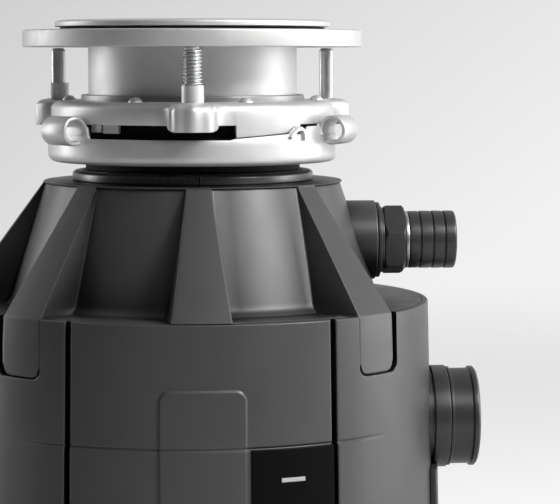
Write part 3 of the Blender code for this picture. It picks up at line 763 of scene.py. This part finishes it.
def make_upper_shroud():
    columns = []
    clear = FRONT_RIB_HALF[1] + RIB_DRAFT + 1.4
    plain = neck_outline() + inner_outline()
    for k in range(8):
        middle = RIB_PITCH * k
        start = middle - clear
        if k in RIBS:
            columns += shroud_columns(middle, k in TONGUED)
            start = middle + clear
        azimuths = spread(start, middle + RIB_PITCH - clear, 1.5)
        if (k + 1) % 8 not in RIBS:
            azimuths.pop()
        columns += [[(r, a, z) for r, z in plain] for a in azimuths]
    shroud = polar_skin("upper_shroud_moulding", columns, MATERIALS["shroud_plastic"], angle=28.0)
    cut(shroud, along_x(rod(16.9, 50, 90, MATERIALS["shroud_plastic"], 96), INLET_Z))
    use(shroud, "root", "shroud_plastic", "upper_shroud")


def pad_rise(offset, z):
    """Height of the raised panel on the front, with round corners and a soft edge."""
    half_height = (PAD_TOP - PAD_LOW) / 2
    dx = abs(offset) - (PAD_HALF - PAD_CORNER)
    dz = abs(z - (PAD_TOP + PAD_LOW) / 2) - (half_height - PAD_CORNER)
    if dx > 0 and dz > 0:
        inside = PAD_CORNER - math.hypot(dx, dz)
    else:
        inside = PAD_CORNER - max(dx, dz)
    return PAD_RISE * smooth(-0.25, 0.75, inside)


def step_inset(az, z):
    """Fine groove that runs round the front of the casing."""
    fade = 1.0 - smooth(36.0, 48.0, abs(az))
    shelf = 0.35 * (1.0 - smooth(STEP_Z - 0.9, STEP_Z - 0.4, z))
    groove = 0.4 * math.exp(-((z - STEP_Z) / 0.45) ** 2)
    return fade * (groove - shelf)


def shell_rows(low, top):
    """Heights down the casing, close together where it has detail."""
    marks = [(top, 0.12, 0.96), (PAD_TOP, 0.4, 6.0), (STEP_Z, 0.22, 2.4), (PAD_LOW, 0.5, 6.0),
             (low, 0.35, 1.2)]
    rows = set(spread(low, top, 6.0))
    for middle, step, reach in marks:
        rows |= {z for z in spread(middle - reach, middle + reach, step) if low <= z <= top}
    return sorted(rows)


def edge_round(distance, radius=0.7):
    """How far a surface falls away within a radius of its edge."""
    beyond = max(0.0, radius - distance)
    return radius - math.sqrt(max(0.0, radius ** 2 - beyond ** 2))


def make_front_panel():
    low, top = span("front_panel")
    edge = SEAM_AZ - SEAM_HALF
    azimuths = set(spread(-edge, edge, 1.2))
    for middle in (-PAD_HALF, PAD_HALF):
        az = math.degrees(middle / 99.8)
        azimuths |= set(spread(az - 3.4, az + 3.4, 0.22))
    for side in (-1, 1):
        azimuths |= {side * (edge - d) for d in EDGE_STEPS}
    azimuths = sorted(a for a in azimuths if abs(a) <= edge)
    rows = shell_rows(low, top)
    columns = []
    for az in azimuths:
        column = []
        side = math.radians(edge - abs(az)) * 99.5
        for z in rows:
            offset = math.radians(az) * shell_radius(z)
            r = shell_radius(z) + pad_rise(offset, z) - step_inset(az, z)
            r -= max(edge_round(side), edge_round(min(z - low, top - z), 0.8))
            column.append((r, az, z))
        for z in (top, 100.0, low):
            column.append((shell_radius(z) - SHELL_WALL, az, z))
        columns.append(column)
    panel = polar_skin("front_panel_moulding", columns, MATERIALS["shroud_plastic"], closed=False,
                       angle=50.0)
    use(panel, "root", "shroud_plastic", "front_panel")


def notch_sides(k):
    """Azimuths of the two sides of the notch round one tongue."""
    before, after = WIDE_SLOT.get(k, (SLOT, SLOT))
    return RIB_PITCH * k - RIB_HALF[1] - before, RIB_PITCH * k + RIB_HALF[1] + after


def notch_top(az, top):
    """Upper edge of the rear shell, which goes down round each tongue."""
    low = TONGUE_Z - 0.45
    for k in TONGUED:
        left, right = notch_sides(k)
        if left < az < right:
            corner = TONGUE_CORNER + 0.45
            beyond = max(0.0, corner - math.radians(min(az - left, right - az)) * 98.9)
            return low + corner - math.sqrt(max(0.0, corner ** 2 - beyond ** 2))
    return top


def make_rear_shell():
    low, top = span("rear_shell")
    start = SEAM_AZ + SEAM_HALF
    end = 360.0 - start
    azimuths = set(spread(start, end, 1.6))
    for edge, side in ((start, 1), (end, -1)):
        azimuths |= {edge + side * d for d in EDGE_STEPS}
    for k in TONGUED:
        for side, edge in zip((-1, 1), notch_sides(k)):
            azimuths |= {edge - 0.0005, edge + 0.0005}
            azimuths |= {edge - side * d for d in (0.05, 0.2, 0.45, 0.8, 1.2, 1.7, 2.3)}
            azimuths |= {edge + side * d for d in (0.08, 0.2, 0.4)}
    columns = []
    share_rows = [0.0, 0.004, 0.012, 0.03] + spread(0.1, 0.9, 0.1)
    for az in sorted(azimuths):
        high = notch_top(az, top)
        side = math.radians(min(az - start, end - az)) * 99.5
        rows = [low + (150.0 - low) * s for s in share_rows]
        rows += spread(150.0, 158.0, 0.3)
        rows += spread(160.0, 178.0, 3.0)
        rows += [high - (high - 178.0) * s for s in (0.9, 0.6, 0.3)]
        rows += [high - d for d in (0.8, 0.5, 0.3, 0.12, 0.03, 0.0)]
        rows = [min(z, high) for z in rows]
        wrapped = (az + 180.0) % 360.0 - 180.0
        column = []
        for z in rows:
            r = shell_radius(z) - step_inset(wrapped, z)
            r -= max(edge_round(side), edge_round(min(z - low, high - z), 0.8))
            column.append((r, az, z))
        for z in (high, 100.0, low):
            column.append((shell_radius(z) - SHELL_WALL, az, z))
        columns.append(column)
    shell = polar_skin("rear_shell_moulding", columns, MATERIALS["shroud_plastic"], closed=False,
                       angle=50.0)
    cut(shell, along_x(rod(24.0, 80, 120, MATERIALS["shroud_plastic"], 96), OUTLET_Z))
    use(shell, "root", "shroud_plastic", "rear_shell")


def plate_on_shell(name, az, z, rise, thickness, material, round_edge=0.3):
    """Thin curved plate that lies on the casing."""
    columns = []
    width = az[1] - az[0]
    inner_edges = [d / width for d in (0.0, 0.06, 0.14, 0.26)]
    shares = sorted(set(inner_edges + [1 - s for s in inner_edges] + spread(0.0, 1.0, 0.1)))
    heights = [z[0], z[0] + 0.08, z[0] + 0.25] + spread(z[0] + 0.6, z[1] - 0.6, 8.0)
    heights += [z[1] - 0.25, z[1] - 0.08, z[1]]
    for share in shares:
        a = az[0] + width * share
        side = math.radians(min(a - az[0], az[1] - a)) * 99.5
        column = []
        for h in heights:
            fall = max(edge_round(side, round_edge), edge_round(min(h - z[0], z[1] - h), round_edge))
            column.append((shell_radius(h) + rise + thickness - fall, a, h))
        for h in (z[1], 100.0 if z[0] < 100.0 < z[1] else (z[0] + z[1]) / 2, z[0]):
            column.append((shell_radius(h) + rise, a, h))
        columns.append(column)
    return polar_skin(name, columns, material, closed=False, angle=50.0)


def make_label():
    """Gloss black plate with plain pale bars."""
    low, high = span("label_plate")
    plate = plate_on_shell("label_plate_gloss", (10.6, 30.5), (low, high - 0.2), 0.3, 0.7,
                           MATERIALS["label_black"])
    use(plate, "root", "label_black", "label_plate")
    bars = [(17.4, 23.0, high - 13.0, high - 11.4)]
    bars += [(15.6 + 4.2 * k, 18.6 + 4.2 * k, high - 62.0, high - 29.0 - 5.0 * (2 - k)) for k in range(3)]
    for k, (left, right, bottom, top) in enumerate(bars, 1):
        bar = plate_on_shell(f"label_bar_{k}", (left, right), (bottom, top), 1.0, 0.08,
                             MATERIALS["print"], 0.05)
        use(bar, "root", "label_black")


def make_bottom_cover():
    top = span("bottom_cover")[1]
    outline = [(10.0, 0.0, 0.6), (84.0, 0.0, 6.0), (96.5, 3.5, 8.0), (SHELL_R, 17.0, 8.0),
               (SHELL_R, top, 0.5), (98.4, top, 0.3), (98.4, 20.0, 6.0), (94.0, 6.5, 6.0),
               (82.0, 4.0, 2.0), (10.0, 4.0, 0.4)]
    trim = MATERIALS["trim_plastic"]
    cover = turned("bottom_cover_dish", outline, trim)
    cut(cover, move(rod(5.0, -5, 9, trim, 48), *centre("reset_button")))
    cut(cover, move(rod(9.4, -5, 9, trim, 48), *centre("cable_gland")))
    half = [size + 0.4 for size in half_size("wiring_cover")]
    pocket = plate_block("pocket", half, -5.0, 2.9, 2.0, trim)
    cut(cover, move(pocket, *centre("wiring_cover")))
    cut(cover, move(rod(2.3, -5, 9, trim, 32), *centre("wiring_cover")))
    use(cover, "root", "trim_plastic", "bottom_cover")


def centre(node):
    """Middle of a CAD node seen from above, in millimetres."""
    return sum(span(node, 0)) / 2, sum(span(node, 1)) / 2


def half_size(node):
    """Half of a CAD node's length along X and along Y, in millimetres."""
    return [(span(node, axis)[1] - span(node, axis)[0]) / 2 for axis in (0, 1)]


def plate_block(name, half, low, high, corner, material):
    """Upright plate with round corners, centred on +Z."""
    outline = rounded([(-half[0], -half[1], corner), (half[0], -half[1], corner),
                       (half[0], half[1], corner), (-half[0], half[1], corner)])
    bevel = min(0.3, (high - low) / 4)
    columns = []
    for x, y in outline:
        inward = Vector((x, y)).normalized() * bevel
        columns.append([(0, 0, low), (x - inward.x, y - inward.y, low), (x, y, low + bevel),
                        (x, y, high - bevel), (x - inward.x, y - inward.y, high), (0, 0, high)])
    return skin(name, columns, material)


def make_underside():
    """Reset button, wiring cover, its screw and the cable gland."""
    low, high = span("wiring_cover")
    plated = MATERIALS["plated_steel"]
    plate = plate_block("wiring_cover_plate", half_size("wiring_cover"), low, high, 1.8, plated)
    cut(plate, rod(2.3, -5, 9, plated, 32))
    use(move(plate, *centre("wiring_cover")), "root", "plated_steel", "wiring_cover")
    low, high = span("wiring_cover_screw")
    outline = [(0, low), (2.6, low, 0.4), (3.6, low + 0.7, 0.3), (3.6, low + 1.0, 0.2),
               (1.8, low + 1.0, 0.1), (1.8, high, 0.4), (0, high)]
    screw = turned("wiring_cover_screw_head", outline, plated, 48)
    for turn in (0.0, 90.0):
        slot = plate_block("slot", (2.2, 0.35), low - 1.0, low + 0.6, 0.1, plated)
        cut(screw, move(slot, turn=turn))
    use(move(screw, *centre("wiring_cover_screw")), "root", "plated_steel", "wiring_cover_screw")
    low, high = span("reset_button")
    outline = [(0, low), (3.6, low, 0.6), (4.4, low + 0.6, 0.4), (4.4, 4.4, 0.2), (6.4, 4.4, 0.3),
               (6.4, high, 0.3), (0, high)]
    button = turned("reset_button_cap", outline, MATERIALS["button_red"], 56)
    use(move(button, *centre("reset_button")), "button", "button_red", "reset_button")
    low, high = span("cable_gland")
    outline = [(5.0, low, 0.4), (9.0, low, 0.6), (9.0, 4.4, 0.2), (12.0, 4.4, 0.4), (12.0, 6.4, 0.4),
               (9.0, 6.4, 0.6), (8.0, high, 0.6), (5.0, high, 0.4)]
    gland = turned("cable_gland_bush", outline, MATERIALS["rubber"], 56)
    use(move(gland, *centre("cable_gland")), "root", "rubber", "cable_gland")


# Hose connections --------------------------------------------
def make_inlet():
    low, high = span("inlet_boss", 0)
    outline = [(8.6, 54.0), (16.6, 54.0), (16.6, high, 0.7), (8.6, high, 0.3)]
    shroud = MATERIALS["shroud_plastic"]
    boss = turned("inlet_boss_moulding", outline, shroud, SMALL_SEGMENTS)
    cone = [(0, 19.0), (50.8, 19.0), (53.0, 13.8), (67.0, -22.2), (67.0, -36.0), (0, -36.0)]
    cone = [(r, z + INLET_Z) for r, z in cone]
    along_x(boss, INLET_Z)
    cut(boss, turned("cone", cone, shroud, 96))
    use(boss, "root", "shroud_plastic", "inlet_boss")
    low, high = span("inlet_ring", 0)
    outline = [(8.6, low), (15.8, low, 0.4), (15.8, low + 1.5, 0.4), (13.9, low + 1.6, 0.1),
               (13.9, high, 0.5), (8.6, high)]
    turned_piece("inlet_ring_washer", outline, "trim_plastic", "inlet_ring", height=INLET_Z,
                 segments=SMALL_SEGMENTS)
    make_nut()
    low, high = span("clip_ring", 0)
    outline = [(8.6, low, 0.2), (12.0, low, 0.4), (12.0, high, 0.4), (8.6, high, 0.2)]
    turned_piece("clip_ring_band", outline, "plated_steel", "clip_ring", height=INLET_Z,
                 segments=SMALL_SEGMENTS)
    low, high = span("hose_nipple", 0)
    outline = [(6.5, low, 0.4), (8.2, low, 0.4), (8.2, 90.5), (12.0, 90.5, 0.4)]
    for groove, radius in ((95.0, 12.05), (100.3, 12.1), (105.3, 12.1)):
        outline += [(radius - 0.05, groove - 0.45, 0.25), (11.3, groove - 0.2), (11.3, groove + 0.2),
                    (radius + 0.05, groove + 0.35, 0.2)]
    outline += [(12.1, high, 1.1), (9.5, high, 0.3), (6.5, high - 0.6, 0.5)]
    turned_piece("hose_nipple_barbed", outline, "trim_plastic", "hose_nipple", height=INLET_Z,
                 segments=SMALL_SEGMENTS)


def make_nut():
    """Hexagon nut with chamfered ends and slightly soft corners."""
    low, high = span("inlet_nut", 0)
    columns = []
    for k in range(144):
        a = 2.5 * k
        off = (a - 15.0 + 30.0) % 60.0 - 30.0
        outside = NUT_FLATS / 2 / math.cos(math.radians(off))
        outside = min(outside, NUT_FLATS / 2 * 1.143)
        chamfer = max(0.0, outside - NUT_FLATS / 2 * 1.04) * 0.7
        ends = [(8.6, low), (outside - chamfer - 0.2, low), (outside - chamfer, low + 0.15),
                (outside, low + 0.15 + chamfer), (outside, high - 0.15 - chamfer),
                (outside - chamfer, high - 0.15), (outside - chamfer - 0.2, high), (8.6, high)]
        columns.append([(r, a, z) for r, z in ends])
    nut = polar_skin("inlet_nut_hex", columns, MATERIALS["trim_plastic"], angle=20.0)
    use(along_x(nut, INLET_Z), "root", "trim_plastic", "inlet_nut")


def make_outlet():
    low, high = span("outlet_tube", 0)
    outline = [(17.0, low, 0.3), (23.0, low, 0.5), (23.0, low + 2.6, 0.5), (20.3, low + 2.6, 0.6),
               (20.3, high - 2.9, 0.4), (21.1, high - 2.5, 0.4), (21.2, high - 0.9, 0.7),
               (20.3, high, 0.5), (18.4, high, 0.5), (17.0, high - 1.6, 0.5)]
    turned_piece("outlet_tube_moulding", outline, "trim_plastic", "outlet_tube", height=OUTLET_Z,
                 segments=OUTLET_SEGMENTS)
    low, high = span("outlet_collar", 0)
    outline = [(20.6, low, 0.3), (21.6, low, 0.4), (21.6, high - 0.3, 0.5), (20.6, high, 0.2)]
    turned_piece("outlet_collar_ring", outline, "trim_plastic", "outlet_collar", height=OUTLET_Z,
                 segments=OUTLET_SEGMENTS)
    low, high = span("outlet_gasket", 0)
    outline = [(20.6, low, 0.2), (21.0, low, 0.2), (21.0, high - 0.2, 0.5), (20.6, high, 0.2)]
    gasket = turned("outlet_gasket_lip", outline, MATERIALS["trim_plastic"], OUTLET_SEGMENTS)
    use(along_x(gasket, OUTLET_Z), "root", "rubber", "outlet_gasket")


def make_apron():
    """Raised pad on the casing below the outlet."""
    low, high = span("outlet_apron")
    half = math.degrees(math.asin(span("outlet_apron", 1)[1] / 103.0))
    trim = MATERIALS["trim_plastic"]
    apron = plate_on_shell("outlet_apron_pad", (90 - half, 90 + half), (low, high), 0.3, 2.45, trim, 0.8)
    cut(apron, along_x(rod(22.2, 90, 120, trim, 96), OUTLET_Z))
    use(apron, "root", "trim_plastic", "outlet_apron")


# Stage -------------------------------------------------------
def make_floor():
    """Pale disc that fades out into the background and shines a little for the camera."""
    bm = bmesh.new()
    bmesh.ops.create_circle(bm, cap_ends=True, radius=2.2, segments=96)
    material = bpy.data.materials.new("floor_paper")
    material.use_nodes = True
    tree = material.node_tree
    shader = tree.nodes["Principled BSDF"]
    seen = add_node(tree, "LightPath", {}).outputs["Is Camera Ray"]
    set_inputs(tree, shader, {"Base Color": (0.8, 0.8, 0.8, 1.0), "Roughness": 0.8,
                              "Emission Color": (1.0, 1.0, 1.0, 1.0),
                              "Emission Strength": math_node(tree, "MULTIPLY", seen, 0.38)})
    place = add_node(tree, "TexCoord", {}).outputs["Object"]
    length = add_node(tree, "VectorMath", {0: place}, operation="LENGTH").outputs["Value"]
    fade = ranged(tree, length, 0.0, 1.0, 0.5, 2.1, interpolation_type="SMOOTHSTEP")
    clear = add_node(tree, "BsdfTransparent", {}).outputs[0]
    mix = add_node(tree, "MixShader", {0: fade, 1: shader.outputs[0], 2: clear}).outputs[0]
    set_inputs(tree, tree.nodes["Material Output"], {"Surface": mix})
    move(finish_mesh("floor", bm, material), z=-0.3)


def area_light(name, az, elevation, distance, size, power):
    """Soft box that faces the object's middle."""
    lamp = bpy.data.lights.new(name, "AREA")
    lamp.shape = "RECTANGLE"
    lamp.size, lamp.size_y = size
    lamp.energy = power
    obj = bpy.data.objects.new(name, lamp)
    bpy.context.scene.collection.objects.link(obj)
    x, y = polar(1.0, az)
    tilt = math.radians(elevation)
    back = Vector((x * math.cos(tilt), y * math.cos(tilt), math.sin(tilt)))
    obj.location = Vector((0, 0, 0.2)) + back * distance
    obj.rotation_mode = "QUATERNION"
    obj.rotation_quaternion = (-back).to_track_quat("-Z", "Y")


def make_world():
    """Pale grey, brighter to the lower right and dimmer for what the front mirrors."""
    world = bpy.data.worlds.new("studio")
    bpy.context.scene.world = world
    world.use_nodes = True
    tree = world.node_tree
    tree.nodes.clear()
    place = add_node(tree, "TexCoord", {}).outputs["Generated"]
    axes = add_node(tree, "SeparateXYZ", {0: place}).outputs
    across = math_node(tree, "MULTIPLY", axes["X"], 1.8)
    slant = math_node(tree, "SUBTRACT", across, math_node(tree, "MULTIPLY", axes["Z"], 2.4))
    pale = ranged(tree, slant, 0.56, 0.88, -0.35, 0.5)
    behind = math_node(tree, "ADD", math_node(tree, "MULTIPLY", axes["X"], 0.6), axes["Y"])
    front = ranged(tree, behind, 0.06, 1.0, -0.6, 0.6)
    path = add_node(tree, "LightPath", {}).outputs
    seen = math_node(tree, "MULTIPLY", pale, path["Is Camera Ray"])
    gloss = math_node(tree, "MAXIMUM", path["Is Glossy Ray"], path["Is Transmission Ray"])
    mirrored = math_node(tree, "MULTIPLY", math_node(tree, "MULTIPLY", pale, front), gloss)
    ambient = math_node(tree, "MAXIMUM", math_node(tree, "ADD", seen, mirrored), 0.07)
    background = add_node(tree, "Background", {"Color": ambient}).outputs[0]
    add_node(tree, "OutputWorld", {"Surface": background})


def make_camera():
    camera = bpy.data.cameras.new("camera")
    camera.lens = LENS
    camera.sensor_width = 36.0
    obj = bpy.data.objects.new("camera", camera)
    bpy.context.scene.collection.objects.link(obj)
    x, y = polar(CAMERA_DISTANCE, CAMERA_AZ)
    obj.location = (x * MM, y * MM, CAMERA_HEIGHT * MM)
    heading = math.radians(-CAMERA_AZ + CAMERA_RIGHT)
    obj.rotation_euler = (math.radians(90.0 - CAMERA_DOWN), 0.0, -heading)
    bpy.context.scene.camera = obj


def dress_cad_nodes():
    """Procedural finish on every CAD node that stays."""
    for part in frame["record"]["subparts"]:
        node = frame["nodes"][part["node"]]
        node.data.materials.clear()
        node.data.materials.append(MATERIALS[part["material_slot"]])


MATERIALS = make_materials()
dress_cad_nodes()
make_camera()
make_world()
make_floor()
# Azimuth, elevation, distance in metres, size in metres, watts
area_light("key", 54.0, 36.0, 1.5, (0.4, 0.5), 21.0)
area_light("side", 96.0, 6.0, 1.6, (0.8, 1.2), 12.0)
area_light("fill", -116.0, 10.0, 1.8, (0.5, 1.2), 11.0)
area_light("front", 20.0, 44.0, 1.7, (0.7, 0.6), 6.0)
make_sink_flange()
make_backup_flange()
make_screws()
make_upper_mounting_ring()
make_lower_mounting_ring()
make_mount_seals()
make_splash_guard()
make_upper_shroud()
make_front_panel()
make_rear_shell()
make_label()
make_bottom_cover()
make_underside()
make_inlet()
make_outlet()
make_apron()

bpy.context.scene.view_settings.view_transform = "Standard"
